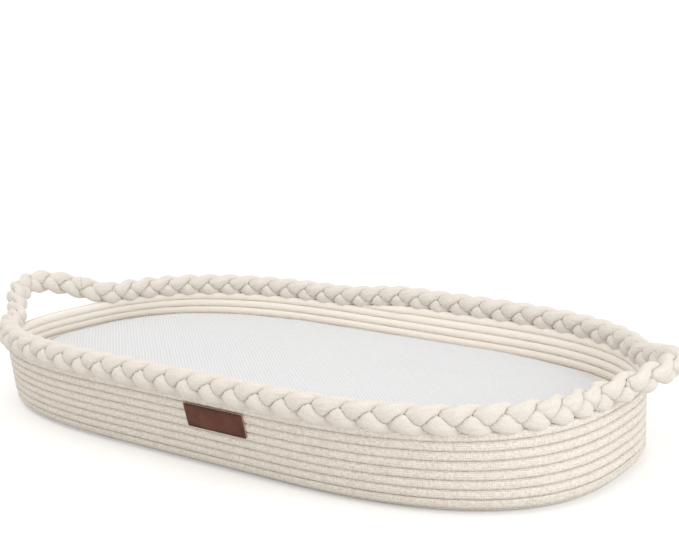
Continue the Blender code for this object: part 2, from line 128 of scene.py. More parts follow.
def stretched(tree, vector, scales):
    settings = {"operation": "MULTIPLY"}
    return part_of(tree, "ShaderNodeVectorMath", settings=settings, s0=vector, s1=scales)[0]


def noise_of(tree, vector, scale, detail, **more):
    more.update(Vector=vector, Scale=scale, Detail=detail)
    return part_of(tree, "ShaderNodeTexNoise", **more)[0]


def cells_of(tree, vector, scale):
    return part_of(tree, "ShaderNodeTexVoronoi", Vector=vector, Scale=scale)[0]


def point_value(tree, name):
    return part_of(tree, "ShaderNodeAttribute", settings={"attribute_name": name})["Fac"]


def seen_share(tree):
    """1 for what the camera sees, straight or in a reflection, and 0 for light."""
    path = part_of(tree, "ShaderNodeLightPath")
    return math_of(tree, "MAXIMUM", path["Is Camera Ray"], path["Is Glossy Ray"])


def new_look(name, roughness, sheen=0.0, specular=0.5, metallic=0.0):
    """A fresh material with its shader's plain numbers set on the shader itself."""
    look = bpy.data.materials.new(name)
    look.use_nodes = True
    shader = look.node_tree.nodes["Principled BSDF"]
    plain = {
        "Metallic": metallic, "Roughness": roughness, "Specular IOR Level": specular,
        "Sheen Weight": sheen, "Sheen Roughness": 0.5,
    }
    for key, value in plain.items():
        shader.inputs[key].default_value = value
    return look, look.node_tree


def finished(look, base, relief, strength, distance, roughness=None):
    """The material with its colour, its relief and, where it varies, its roughness linked."""
    tree = look.node_tree
    shader = tree.nodes["Principled BSDF"]
    bump = part_of(tree, "ShaderNodeBump", Strength=strength, Distance=distance, Height=relief)
    feed(tree, shader.inputs["Base Color"], base)
    feed(tree, shader.inputs["Normal"], bump[0])
    if roughness is not None:
        feed(tree, shader.inputs["Roughness"], roughness)
    return look


# Helpers for shapes: new objects, meshes from points, and basic meshes that are scaled, moved
# and repeated. Every finished piece has its origin at the world's, unturned and unscaled.

def put_in(name, data):
    """A new object in the scene."""
    made = bpy.data.objects.new(name, data)
    bpy.context.scene.collection.objects.link(made)
    return made


def mesh_piece(name, points, faces, uvs=None):
    """A mesh from points and faces, smooth and with a UV map along and round it if it has one."""
    mesh = bpy.data.meshes.new(name)
    mesh.from_pydata(points.tolist(), [], faces)
    if uvs is not None:
        layer = mesh.uv_layers.new(name="along_and_round")
        layer.data.foreach_set("uv", np.array(uvs, np.float32).ravel())
        mesh.shade_smooth()
    return put_in(name, mesh)


def basic_piece(name, add, scale, **settings):
    """A basic mesh at the origin, scaled."""
    bpy.ops.object.select_all(action="DESELECT")
    add(**settings)
    piece = bpy.context.object
    piece.name = name
    piece.scale = scale
    bpy.ops.object.transform_apply(location=False, rotation=False, scale=True)
    return piece


def move_to(piece, place):
    piece.location = place
    bpy.ops.object.transform_apply(location=True, rotation=False, scale=False)


def modify(piece, kind, **settings):
    """Gives the active piece a modifier and applies it."""
    made = piece.modifiers.new("change", kind)
    for key, value in settings.items():
        setattr(made, key, value)
    bpy.ops.object.modifier_apply(modifier="change")


def repeat(piece, count, offset):
    """A row of copies of the piece, in the same mesh."""
    modify(piece, "ARRAY", count=count, use_relative_offset=False, use_constant_offset=True,
           constant_offset_displace=offset)


def make_active(piece):
    bpy.ops.object.select_all(action="DESELECT")
    piece.select_set(True)
    bpy.context.view_layer.objects.active = piece


# The camera stands at the front right, a little above the rim, at the height from which the
# basket's front wall, its whole mouth and both handles show. The basket fills the lower half
# of the picture, so the lens is shifted up.

camera_target = Vector((0.0, 0.0, 0.0528))
camera_turn = np.radians(35.7233)
camera_rise = np.radians(15.1445)
camera_distance = 1.3669
camera_back = Vector((
    np.sin(camera_turn) * np.cos(camera_rise),
    -np.cos(camera_turn) * np.cos(camera_rise),
    np.sin(camera_rise),
))
camera_data = bpy.data.cameras.new("camera")
camera_data.lens = 63.07
camera_data.sensor_width = 36.0
camera_data.shift_x = 0.0463
camera_data.shift_y = 0.1494
camera_data.clip_start = 0.01
camera = put_in("camera", camera_data)
camera.location = camera_target + camera_distance * camera_back
camera.rotation_euler = camera_back.to_track_quat("Z", "Y").to_euler()
bpy.context.scene.camera = camera
bpy.context.scene.view_settings.view_transform = "Standard"


# Studio light: an even pale surround, a large soft lamp above and in front on the left, and a
# second one on the right, towards which the basket's right end faces.

def soft_lamp(name, place, aim, size, power, colour):
    lamp_data = bpy.data.lights.new(name, "AREA")
    lamp_data.shape = "RECTANGLE"
    lamp_data.size, lamp_data.size_y = size
    lamp_data.energy = power
    lamp_data.color = colour
    lamp = put_in(name, lamp_data)
    lamp.location = place
    lamp.rotation_euler = (Vector(place) - Vector(aim)).to_track_quat("Z", "Y").to_euler()


soft_lamp("overhead_lamp", (-0.50, -0.60, 1.8), (0.0, 0.0, 0.0), (1.8, 1.5), 9.0,
          (1.0, 0.995, 0.985))
soft_lamp("right_lamp", (1.9, -0.35, 0.9), (0.0, 0.0, 0.05), (1.4, 1.2), 12.5,
          (0.95, 0.975, 1.0))

world = bpy.data.worlds.new("studio")
world.use_nodes = True
bpy.context.scene.world = world
sky = world.node_tree
sky.nodes.clear()
sky_light = part_of(sky, "ShaderNodeBackground", Color=(1.0, 0.975, 0.945, 1.0), Strength=0.86)
sky_seen = part_of(sky, "ShaderNodeBackground", Color=(1.0, 1.0, 1.0, 1.0), Strength=1.0)
sky_mix = part_of(sky, "ShaderNodeMixShader", s0=seen_share(sky), s1=sky_light[0], s2=sky_seen[0])
part_of(sky, "ShaderNodeOutputWorld", Surface=sky_mix[0])


# The white floor under the basket. It is stage, not part of the basket: to the camera it is
# plain white, and it keeps the basket's soft grey shadow.

floor_white_from, floor_white_at = 0.50, 0.95
floor_glow = 0.30
floor = basic_piece("studio_floor", bpy.ops.mesh.primitive_plane_add, (1.0, 1.0, 1.0), size=30.0)
floor_look = bpy.data.materials.new("studio_floor")
floor_look.use_nodes = True
tree = floor_look.node_tree
tree.nodes.clear()
seen = seen_share(tree)
matt = part_of(tree, "ShaderNodeBsdfDiffuse", Color=(0.78, 0.775, 0.77, 1.0))
glow = part_of(tree, "ShaderNodeEmission", Strength=product_of(tree, seen, floor_glow))
lit = part_of(tree, "ShaderNodeAddShader", s0=matt[0], s1=glow[0])
reach = part_of(tree, "ShaderNodeVectorMath", settings={"operation": "LENGTH"}, s0=place_of(tree))
far = ramp_of(tree, reach["Value"], floor_white_from, floor_white_at)
white = part_of(tree, "ShaderNodeEmission")
blend = part_of(tree, "ShaderNodeMixShader", s0=product_of(tree, far, seen),
                s1=lit[0], s2=white[0])
part_of(tree, "ShaderNodeOutputMaterial", Surface=blend[0])
floor.data.materials.append(floor_look)


# The basket's floor and wall: one soft braided cotton rope, wound flat from the middle of the
# floor, turned up at the edge and climbing the wall a turn at a time. Neighbouring turns are
# sewn to each other, so they touch along narrow stitched grooves.

foot_length, foot_width = 0.763, 0.423
mouth_length, mouth_width = 0.745, 0.476
mouth_height = 0.1056
straight_half = 0.096
basket_squareness = 2.6
rope_diameter, rope_pitch = 0.0090, 0.0096
corner_radius = 0.0096
wall_height = 0.0860
rope_loops = 11
floor_loops = 20.6
points_per_quarter = 6
end_turns = 0.0455
step_run = 0.110
unsteadiness = 0.00013
rope_sides, rope_squareness = 12, 3.8
least_half_pitch, most_half_pitch = 0.0036, 0.0054
end_thickness, end_half_pitch = 0.35, 0.0003
samples_per_turn, bend_samples = 720, 9
ring_step_per_radius, shortest_ring_step, longest_ring_step = 0.13, 0.0024, 0.0105
small_turn = 0.0005
wobbles = ((7.0, 0.6, 1.0), (11.37, 0.0, 0.7))
yarn_pitch, yarns_round, seam_stitch_pitch = 0.0030, 9, 0.0032
rope_radius = rope_diameter / 2
corner_turns = np.pi / 4 / np.arcsin(rope_pitch / (2 * corner_radius))
wall_turns = (wall_height - 2 * rope_radius - corner_radius) / rope_pitch
floor_turns = rope_loops - corner_turns - wall_turns


def oval(half_length, half_width, straight, squareness, turn):
    """Points of the basket's oval, counter-clockwise from the middle of the rear side."""
    quarter, share = np.divmod(4 * np.mod(turn, 1.0), 1.0)
    steps = share * points_per_quarter
    steps = np.where(quarter % 2 == 1, points_per_quarter - steps, steps)
    angle = np.pi / 2 * np.clip(steps - 1.0, 0.0, None) / (points_per_quarter - 1)
    x = straight * np.minimum(steps, 1.0)
    x = x + (half_length - straight) * np.sin(angle) ** (2 / squareness)
    y = half_width * np.clip(np.cos(angle), 0.0, 1.0) ** (2 / squareness)
    x_sign = np.where(quarter < 2, -1.0, 1.0)
    y_sign = np.where((quarter == 0) | (quarter == 3), 1.0, -1.0)
    return x_sign * x, y_sign * y


def wall_oval(height, inset, turn):
    """The basket's outer oval at a height, drawn in by the inset. Its long sides lean out."""
    corner_top = rope_radius + corner_radius
    share = np.clip(height - corner_top, 0.0, None) / (mouth_height - corner_top)
    half_length = (foot_length + (mouth_length - foot_length) * share) / 2 - inset
    half_width = (foot_width + (mouth_width - foot_width) * share) / 2 - inset
    straight = np.minimum(straight_half, 0.9 * half_length)
    return oval(half_length, np.maximum(half_width, 0.001), straight, basket_squareness, turn)


def rope_middle(turns):
    """The rope's centre line after a number of turns, over the floor and up the wall."""
    turns = np.asarray(turns, float)
    angle = np.pi / 2 * np.clip((turns - floor_turns) / corner_turns, 0.0, 1.0)
    flat = np.clip(floor_turns - turns, 0.0, None) * rope_pitch
    climbed = np.clip(turns - floor_turns - corner_turns, 0.0, None) * rope_pitch
    inset = rope_radius + corner_radius * (1 - np.sin(angle)) + flat
    height = rope_radius + corner_radius * (1 - np.cos(angle)) + climbed
    x, y = wall_oval(height, inset, turns)
    return np.stack([x, y, height], axis=1)


def unit(rows):
    return rows / np.maximum(np.linalg.norm(rows, axis=1), 1e-9)[:, None]


def spaced_turns(first, last):
    """Turns at which the rope gets a ring of points: close on tight bends, wide on easy ones."""
    dense = np.linspace(first, last, int((last - first) * samples_per_turn))
    line = rope_middle(dense)
    steps = np.diff(line, axis=0)
    lengths = np.linalg.norm(steps, axis=1)
    bends = np.linalg.norm(np.diff(unit(steps), axis=0), axis=1) / np.maximum(lengths[1:], 1e-6)
    bends = np.convolve(bends, np.ones(bend_samples) / bend_samples, mode="same")
    radius = 1 / np.maximum(bends, 1e-3)
    step = np.clip(ring_step_per_radius * radius, shortest_ring_step, longest_ring_step)
    rings = np.concatenate([[0.0], np.cumsum(lengths[1:] / step)])
    count = int(rings[-1])
    return np.interp(np.linspace(0.0, rings[-1], count), rings, dense[1:])


def lengths_along(line):
    steps = np.linalg.norm(np.diff(line, axis=0), axis=1)
    return np.concatenate([[0.0], np.cumsum(steps)])


def rings_mesh(name, rings, lengths, closed=False):
    """A tube of quads through rings of points, with a UV map: along, and round.

    It has a flat face at each end, or else it closes on itself and its rings run the other way.
    """
    count, sides = rings.shape[:2]
    v_columns = np.linspace(0.0, 1.0, sides + 1)
    order = (0, 3, 2, 1) if closed else (0, 1, 2, 3)
    faces, uvs = [], []
    for row in range(count if closed else count - 1):
        near, far = row * sides, (row + 1) % count * sides
        u_low, u_high = lengths[row], lengths[row + 1]
        for side in range(sides):
            after = (side + 1) % sides
            v_low, v_high = v_columns[side], v_columns[side + 1]
            corners = (near + side, near + after, far + after, far + side)
            spots = ((u_low, v_low), (u_low, v_high), (u_high, v_high), (u_high, v_low))
            faces.append(tuple(corners[at] for at in order))
            uvs += [spots[at] for at in order]
    if not closed:
        last = (count - 1) * sides
        faces += [tuple(range(sides))[::-1], tuple(range(last, last + sides))]
        uvs += [(lengths[0], v) for v in v_columns[:sides][::-1]]
        uvs += [(lengths[-1], v) for v in v_columns[:sides]]
    return mesh_piece(name, rings.reshape(-1, 3), faces, uvs)


def smooth_step(share):
    share = np.clip(share, 0.0, 1.0)
    return share * share * (3 - 2 * share)


def wound_rope():
    """The rope, a little unsteady in height as hand-wound turns are, and thin at its end."""
    turns = spaced_turns(-floor_loops, rope_loops + end_turns)
    middle = rope_middle(turns)
    ahead = unit(rope_middle(turns + small_turn) - rope_middle(turns - small_turn))
    across = rope_middle(turns + 1.0) - rope_middle(turns - 1.0)
    across -= ahead * np.sum(across * ahead, axis=1)[:, None]
    half_pitch = np.linalg.norm(across, axis=1) / 4
    half_pitch = np.clip(half_pitch, least_half_pitch, most_half_pitch)
    across = unit(across)
    inward = np.cross(across, ahead)
    past = turns > rope_loops
    below = rope_middle(turns - 1.0)
    left = rope_pitch * (1 - smooth_step(np.abs(below[:, 0]) / step_run))
    left = np.maximum(left, 2 * end_half_pitch)
    middle[past] = below[past] + np.array([0.0, 0.0, rope_radius])
    middle[past, 2] += left[past] / 2
    half_pitch = np.where(past, left / 2, half_pitch)
    thinned = end_thickness + (1 - end_thickness) * left / rope_pitch
    thinned = np.where(past, thinned, 1.0)
    wave = sum(size * np.sin(2 * np.pi * often * turns + start) for often, start, size in wobbles)
    climb = np.clip((turns - floor_turns) / corner_turns, 0.0, 1.0)
    middle[:, 2] += unsteadiness * wave * climb * (turns < rope_loops)
    angle = 2 * np.pi * np.arange(rope_sides) / rope_sides
    power = 2 / rope_squareness
    thick = np.sign(np.cos(angle)) * np.abs(np.cos(angle)) ** power * rope_radius
    wide = np.sign(np.sin(angle)) * np.abs(np.sin(angle)) ** power
    rings = (
        middle[:, None, :]
        + inward[:, None, :] * (thick[None, :] * thinned[:, None])[:, :, None]
        + across[:, None, :] * (wide[None, :] * half_pitch[:, None])[:, :, None]
    )
    rings[:, :, 2] = np.maximum(rings[:, :, 2], 0.0)
    return rings_mesh("wound_rope", rings, lengths_along(middle))


def rope_cotton():
    """Undyed braided cotton: crossing yarns, a mottled tone, small stitches in the grooves, and a
    paler inner side that is painted light.
    """
    look, tree = new_look("wound_cotton", 0.92, sheen=0.15, specular=0.25)
    along, round_ = axes_of(tree, map_of(tree, "along_and_round"))[:2]
    lengthwise = product_of(tree, along, 2 * np.pi / yarn_pitch)
    yarns = product_of(tree, *(
        math_of(tree, "SINE", weighted(tree, round_, way * yarns_round, lengthwise))
        for way in (2 * np.pi, -2 * np.pi)
    ))
    place = place_of(tree)
    fuzz = noise_of(tree, place, 900.0, 3.0)
    mottle = noise_of(tree, place, 330.0, 4.0)
    cloud = noise_of(tree, place, 18.0, 2.0)
    # The grooves lie a quarter and three quarters of the way round, and are stitched from outside
    facing_in = math_of(tree, "COSINE", product_of(tree, round_, 2 * np.pi))
    in_groove = ramp_of(tree, math_of(tree, "ABSOLUTE", facing_in), 0.04, 0.22, 1.0, 0.0)
    in_groove = product_of(tree, in_groove, ramp_of(tree, facing_in, -0.04, 0.04, 1.0, 0.0))
    stitch = wave_of(tree, along, seam_stitch_pitch)
    stitched = product_of(tree, in_groove, ramp_of(tree, stitch, -0.2, 0.4))
    above_corner = ramp_of(tree, axes_of(tree, place)[2], 0.012, 0.020)
    stitched = product_of(tree, stitched, above_corner)
    grain = weighted(tree, yarns, 0.12, mottle)
    base = graded(tree, grain, 0.34, 0.58, (0.86, 0.765, 0.65), (0.99, 0.945, 0.875))
    base = touched_up(tree, base, cloud, 0.35, 0.7, 0.20, (0.97, 0.90, 0.815))
    # The rope's inner side, which faces into the basket, is painted paler: painted light on the
    # inner walls. Its relief is also smoother than the outer side's.
    inner = ramp_of(tree, facing_in, -0.10, 0.30)
    base = tint_of(tree, product_of(tree, inner, 0.85), base, (0.97, 0.91, 0.825))
    base = tint_of(tree, product_of(tree, stitched, 0.75), base, (0.36, 0.29, 0.22))
    relief = weighted(tree, yarns, 0.45, product_of(tree, fuzz, 0.6))
    relief = weighted(tree, mottle, 1.2, relief)
    relief = weighted(tree, stitched, -0.8, relief)
    relief = product_of(tree, relief, weighted(tree, inner, -0.62, 1.0))
    return finished(look, base, relief, 1.0, 0.0008)


rope = wound_rope()
rope.data.materials.append(rope_cotton())
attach(rope, "basket")
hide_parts("wall_rope_coil", "floor_core")


# The plait on the rim: three stuffed cotton tubes, plaited and sewn onto the wall's top turn.
# At each end it leaves the wall as a carrying loop that droops outwards. The strands are soft,
# so each is pressed flat where it meets the other two.

plait_rise, plait_depth = 0.0060, 0.0052
strand_half_width, strand_half_thickness = 0.0086, 0.0062
plait_half_height = 0.0084 + rope_diameter / 2
plait_settle = 0.0024
plait_lean_out = 0.16
plait_waves = 24
rings_per_wave, ring_sides = 48, 20
cuts_per_wave = 12
press_halvings, press_clearance = 11, 0.985
points_at_once = 256
ribs_round = 22
loop_half_span, grip_half_span = 0.100, 0.055
loop_shift, loop_roll = 0.040, 0.60
left_rise, left_reach = 0.0249, 0.0397
right_rise, right_reach = 0.0160, 0.0360
seat_steps = 960


def plait_route():
    """The plait's middle line as on the solids, its outward direction, and how far it leans."""
    turn = np.arange(seat_steps) / seat_steps
    top = rope_middle(rope_loops - 1 + turn)[:, 2]
    run = np.abs(wall_oval(top, rope_radius, turn)[0])
    down = np.where(turn < 0.25, rope_pitch * (1 - smooth_step(run / step_run)), 0.0)
    height = top + rope_radius + down - plait_settle + plait_half_height
    x, y = wall_oval(height, rope_radius, turn)
    seat = np.stack([x, y, height], axis=1)
    lengths = lengths_round(seat)
    tangent = unit(np.roll(seat, -1, axis=0) - np.roll(seat, 1, axis=0))
    outward = unit(np.stack([tangent[:, 1], -tangent[:, 0], 0 * tangent[:, 0]], axis=1))
    left = lengths[seat_steps // 4] + loop_shift
    right = lengths[3 * seat_steps // 4] + loop_shift
    line, lean = seat.copy(), np.zeros(seat_steps)
    for centre, reach, rise in ((left, left_reach, left_rise), (right, right_reach, right_rise)):
        bump = np.clip(1 - ((lengths[:-1] - centre) / loop_half_span) ** 2, 0.0, 1.0) ** 2
        line += outward * (reach * bump)[:, None]
        line[:, 2] += rise * bump
        lean += loop_roll * bump
    offsets = (-loop_half_span, -grip_half_span, grip_half_span, loop_half_span)
    spans = [centre + offset for centre in (left, right) for offset in offsets]
    marks = np.interp(spans, lengths, lengths_round(line))
    return line, outward, lean[:, None], marks


def lengths_round(line):
    steps = np.linalg.norm(np.roll(line, -1, axis=0) - line, axis=1)
    return np.concatenate([[0.0], np.cumsum(steps)])


plait_line, plait_outward, plait_lean, plait_marks = plait_route()
plait_lengths = lengths_round(plait_line)
plait_whole = plait_lengths[-1]
wave_length = plait_whole / plait_waves


def strand_middle(strand, along):
    """A strand's centre in a straight plait: along, outwards and up."""
    phase = 2 * np.pi * (along / wave_length + strand / 3)
    return np.stack([along, plait_depth * np.sin(2 * phase), plait_rise * np.sin(phase)], axis=-1)


def strand_frame(strand, along):
    """The directions in which a strand's section is wide and thick."""
    step = wave_length / 400
    ahead = unit(strand_middle(strand, along + step) - strand_middle(strand, along - step))
    facing = np.array([0.0, 1.0, 0.0])
    wide = unit(np.cross(ahead, facing))
    return wide, np.cross(wide, ahead)


def closeness(strand, points):
    """How far points lie from a strand's centre, in shares of its soft, unpressed section."""
    along = wave_length * np.linspace(-0.6, 1.6, 4 * rings_per_wave)
    middle = strand_middle(strand, along)
    wide, thick = strand_frame(strand, along)
    nearest = np.empty(len(points))
    for start in range(0, len(points), points_at_once):
        chunk = slice(start, start + points_at_once)
        gap = points[chunk, None, :] - middle[None]
        across = np.sum(gap * wide[None], axis=2)
        through = np.sum(gap * thick[None], axis=2)
        ahead = gap - wide[None] * across[:, :, None] - thick[None] * through[:, :, None]
        slip = np.linalg.norm(ahead, axis=2) / strand_half_thickness
        squares = (across / strand_half_width)**2 + (through / strand_half_thickness)**2 + slip**2
        nearest[chunk] = np.sqrt(squares).min(axis=1)
    return nearest


def pressed_wave():
    """One wave of a strand, as rings of points pressed back to where it meets the other two."""
    along = wave_length * np.arange(rings_per_wave) / rings_per_wave
    middle = strand_middle(0, along)
    wide, thick = strand_frame(0, along)
    angle = 2 * np.pi * np.arange(ring_sides) / ring_sides
    swell = (
        wide[:, None, :] * (np.cos(angle) * strand_half_width)[None, :, None]
        + thick[:, None, :] * (np.sin(angle) * strand_half_thickness)[None, :, None]
    )
    centre = np.repeat(middle, ring_sides, axis=0)
    full = swell.reshape(-1, 3)
    low, high = np.zeros(len(full)), np.ones(len(full))
    for _ in range(press_halvings):
        share = (low + high) / 2
        points = centre + share[:, None] * full
        inside = share <= np.minimum(closeness(1, points), closeness(2, points))
        low, high = np.where(inside, share, low), np.where(inside, high, share)
    share = np.where(low > 0.995, 1.0, low * press_clearance)
    points = (centre + share[:, None] * full).reshape(rings_per_wave, ring_sides, 3)
    return points, share.reshape(rings_per_wave, ring_sides)


wave_points, wave_press = pressed_wave()


def on_route(along, out, up):
    """Points of the straight plait carried onto the rim's route."""
    place = np.mod(along, plait_whole)

    def at(table):
        columns = np.vstack([table, table[:1]]).T
        return np.stack([np.interp(place, plait_lengths, column) for column in columns], axis=1)

    ahead = unit(at(np.roll(plait_line, -1, axis=0) - np.roll(plait_line, 1, axis=0)))
    outward = at(plait_outward)
    outward = unit(outward - ahead * np.sum(outward * ahead, axis=1)[:, None])
    upward = np.cross(outward, ahead)
    lean = at(plait_lean) - plait_lean_out
    face = outward * np.cos(lean) - upward * np.sin(lean)
    high = upward * np.cos(lean) + outward * np.sin(lean)
    return at(plait_line) + high * up[:, None] + face * out[:, None]


def strand_piece(name, strand, start, end, look):
    """A strand between two cuts, which lie where the solids' cuts lie."""
    step = wave_length / cuts_per_wave
    first = int(np.floor(start / step + strand / 3 * cuts_per_wave))
    last = int(np.floor(end / step + strand / 3 * cuts_per_wave))
    per_step = rings_per_wave // cuts_per_wave
    ring = np.arange(first * per_step + per_step // 2, last * per_step + per_step // 2 + 1)
    wave, within = np.divmod(ring, rings_per_wave)
    straight = wave_points[within].copy()
    straight[:, :, 0] += ((wave - strand / 3) * wave_length)[:, None]
    flat = straight.reshape(-1, 3)
    placed = on_route(flat[:, 0], flat[:, 1], flat[:, 2]).reshape(len(ring), ring_sides, 3)
    lengths = lengths_along(placed.mean(axis=1)) + (first * step) % 1.0
    piece = rings_mesh(name, placed, lengths)
    press = piece.data.attributes.new("press", "FLOAT", "POINT")
    press.data.foreach_set("value", (1 - wave_press[within]).astype(np.float32).ravel())
    piece.data.materials.append(look)
    return piece


def plait_cotton():
    """Stuffed cotton jersey: faint lengthwise lines, and fine creases and painted shade where it
    is pinched.
    """
    look, tree = new_look("plait_cotton", 0.9, sheen=0.2, specular=0.25)
    along, round_ = axes_of(tree, map_of(tree, "along_and_round"))[:2]
    place = place_of(tree)
    press = point_value(tree, "press")
    cloud = noise_of(tree, place, 34.0, 2.0)
    sway = weighted(tree, cloud, 0.10, round_)
    ribs = math_of(tree, "SINE", product_of(tree, sway, 2 * np.pi * ribs_round))
    folds_at = part_of(tree, "ShaderNodeCombineXYZ", X=product_of(tree, along, 60.0),
                       Y=product_of(tree, sway, 14.0))[0]
    folds = noise_of(tree, folds_at, 1.0, 4.0, Roughness=0.55)
    fuzz = noise_of(tree, place, 620.0, 4.0)
    pinch_and_shade = ramp_of(tree, press, 0.02, 0.45)
    base = graded(tree, folds, 0.25, 0.7, (0.74, 0.685, 0.61), (0.80, 0.755, 0.695))
    # Painted shade: the strands are darker where they press together, in the crevices between
    # them.
    base = tint_of(tree, product_of(tree, pinch_and_shade, 0.6), base, (0.58, 0.49, 0.38))
    base = touched_up(tree, base, fuzz, 0.42, 0.62, 0.35, (0.87, 0.84, 0.79))
    relief = product_of(tree, folds, weighted(tree, pinch_and_shade, 2.4, 1.0))
    rib_share = weighted(tree, pinch_and_shade, 0.16, 0.05)
    relief = weighted(tree, ribs, rib_share, relief)
    relief = weighted(tree, fuzz, 0.7, relief)
    return finished(look, base, relief, 0.85, 0.0012)


def point_on_route(along):
    return on_route(np.array([along]), np.zeros(1), np.zeros(1))[0]


plait_look = plait_cotton()
plait_stretches = (
    "rear_rim", "left_rear_foot", "left_handle", "left_front_foot",
    "front_rim", "right_front_foot", "right_handle", "right_rear_foot",
)
plait_cuts = [plait_marks[-1] - plait_whole, *plait_marks]
for stretch, start, end in zip(plait_stretches, plait_cuts, plait_cuts[1:]):
    for strand in range(3):
        name = f"{stretch}_strand_{strand + 1}"
        piece = strand_piece(f"{stretch}_plait_{strand + 1}", strand, start, end, plait_look)
        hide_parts(name)
        if stretch.endswith("rim"):
            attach(piece, "basket")
        elif stretch.endswith("handle"):
            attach(piece, stretch)
        else:
            side = stretch.split("_")[0]
            from_rim = (side == "left") == ("rear" in stretch)
            near, far = map(point_on_route, (start, end) if from_rim else (end, start))
            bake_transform(piece)


# The label: one piece of dark brown leather with pale cut edges, sewn onto the front wall with a
# row of stitches along its top and its bottom edge. It leans as the wall leans.

label_length, label_height, label_thickness = 0.074, 0.027, 0.0018
label_x, label_z = 0.050, 0.0585
label_corner, label_edge = 0.0015, 0.0004
stitch_length, stitch_pitch, stitch_thickness = 0.0030, 0.0046, 0.0012
stitch_inset = 0.0017
thread_twist = 0.0005
sewn_on_gap = 0.0003
label_low = wall_oval(label_z - label_height / 2, 0.0, 0.5)[1]
label_high = wall_oval(label_z + label_height / 2, 0.0, 0.5)[1]
label_lean = np.arctan2(label_low - label_high, label_height)
label_out = (sewn_on_gap + label_thickness / 2) / np.cos(label_lean)
label_place = (label_x, (label_low + label_high) / 2 - label_out, label_z)


def lay_on_label(piece):
    """Leans a piece that was shaped upright at the origin, and moves it onto the front wall."""
    piece.rotation_euler = (label_lean, 0.0, 0.0)
    piece.location = label_place
    bpy.ops.object.transform_apply(location=True, rotation=True, scale=True)


def leather():
    """Waxed leather: fine grain and pores, a few lighter scuffs, and a pale raw cut edge."""
    look, tree = new_look("brown_leather", 0.5, specular=0.20)
    place = place_of(tree)
    grain = cells_of(tree, place, 1500.0)
    pores = noise_of(tree, place, 700.0, 4.0)
    cloud = noise_of(tree, place, 55.0, 3.0)
    base = graded(tree, cloud, 0.3, 0.7, (0.083, 0.027, 0.014), (0.137, 0.047, 0.025))
    base = touched_up(tree, base, pores, 0.5, 0.75, 0.35, (0.185, 0.074, 0.043))
    cut = point_value(tree, "cut_edge")
    base = graded(tree, cut, 0.3, 0.8, base, (0.50, 0.36, 0.26))
    rough = ramp_of(tree, pores, 0.3, 0.7, 0.40, 0.62)
    relief = weighted(tree, grain, 0.6, pores)
    return finished(look, base, relief, 0.35, 0.0003, roughness=rough)


label = basic_piece("sewn_label", bpy.ops.mesh.primitive_cube_add,
                    (label_length, label_thickness, label_height), size=1.0)
work = bmesh.new()
work.from_mesh(label.data)
corners = [e for e in work.edges if abs(e.verts[0].co.y - e.verts[1].co.y) > label_thickness / 2]
bmesh.ops.bevel(work, geom=corners, offset=label_corner, segments=5, affect="EDGES", profile=0.5)
rims = [e for e in work.edges if len(e.link_faces) == 2
        and abs(e.link_faces[0].normal.y - e.link_faces[1].normal.y) > 0.5]
bmesh.ops.bevel(work, geom=rims, offset=label_edge, segments=3, affect="EDGES", profile=0.6)
cut_layer = work.verts.layers.float.new("cut_edge")
for vert in work.verts:
    vert[cut_layer] = 1.0 if abs(vert.co.y) < label_thickness / 2 - label_edge / 2 else 0.0
work.to_mesh(label.data)
work.free()
lay_on_label(label)
bpy.ops.object.shade_smooth_by_angle(angle=np.radians(50))
label.data.materials.append(leather())
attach(label, "basket")
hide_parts("leather_label")


def label_thread():
    """Waxed thread: a tight twist in dark brown."""
    look, tree = new_look("label_thread", 0.6, specular=0.4)
    split = axes_of(tree, place_of(tree))
    slant = weighted(tree, split[2], 1.2, split[0])
    twist = wave_of(tree, slant, thread_twist)
    base = graded(tree, twist, -0.6, 0.8, (0.010, 0.006, 0.004), (0.040, 0.020, 0.014))
    return finished(look, base, twist, 0.5, 0.0001)


one_stitch = basic_piece("label_stitches", bpy.ops.mesh.primitive_uv_sphere_add,
                         (stitch_length, stitch_thickness, stitch_thickness),
                         segments=8, ring_count=6, radius=0.5)
stitch_count = int((label_length - 2 * stitch_inset) / stitch_pitch)
first_stitch = -(stitch_count - 1) / 2 * stitch_pitch
repeat(one_stitch, stitch_count, (stitch_pitch, 0.0, 0.0))
repeat(one_stitch, 2, (0.0, 0.0, label_height - 2 * stitch_inset))
move_to(one_stitch, (first_stitch, -label_thickness / 2, -label_height / 2 + stitch_inset))
lay_on_label(one_stitch)
bpy.ops.object.shade_smooth()
one_stitch.data.materials.append(label_thread())
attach(one_stitch, "basket")


# The pad: a firm foam slab in a white waffle cotton cover. The cover is a top panel with its side
# band, and a bottom panel, joined by a corded seam low on the side. It lies loose on the floor.

pad_length, pad_width, pad_thickness = 0.7156, 0.401, 0.0475
pad_bottom = rope_diameter + 0.0003
pad_squareness = 2.45
pad_end_length = pad_length / 2 - straight_half
pad_top_radius, pad_bottom_radius = 0.0075, 0.007
pad_crown = 0.003
side_draw = 0.0010
seam_crease = 0.0006
cover_overreach = 0.0006
seam_height, welt_radius = 0.0100, 0.0013
seam_reach = 0.0032
flat_side_inset = 0.0001
panel_gap = 0.0003
foam_inset = 0.0026
pad_ring_points = 144
cloth_voxel = 0.006
cloth_cap = 0.0022
cloth_start_inset = 0.0020
cloth_frames = 20
cover_thickness = 0.0009
crease_from, crease_run = 0.93, 0.04
band_from, band_run = 0.80, 0.12
waffle_cell, cover_weave = 0.0052, 0.0007


def pad_ring(inset, height, share=1.0):
    turn = np.arange(pad_ring_points) / pad_ring_points
    x, y = oval((pad_length / 2 - inset) * share, (pad_width / 2 - inset) * share,
                straight_half * share, pad_squareness, turn)
    return np.stack([x, y, np.full(pad_ring_points, height)], axis=1)


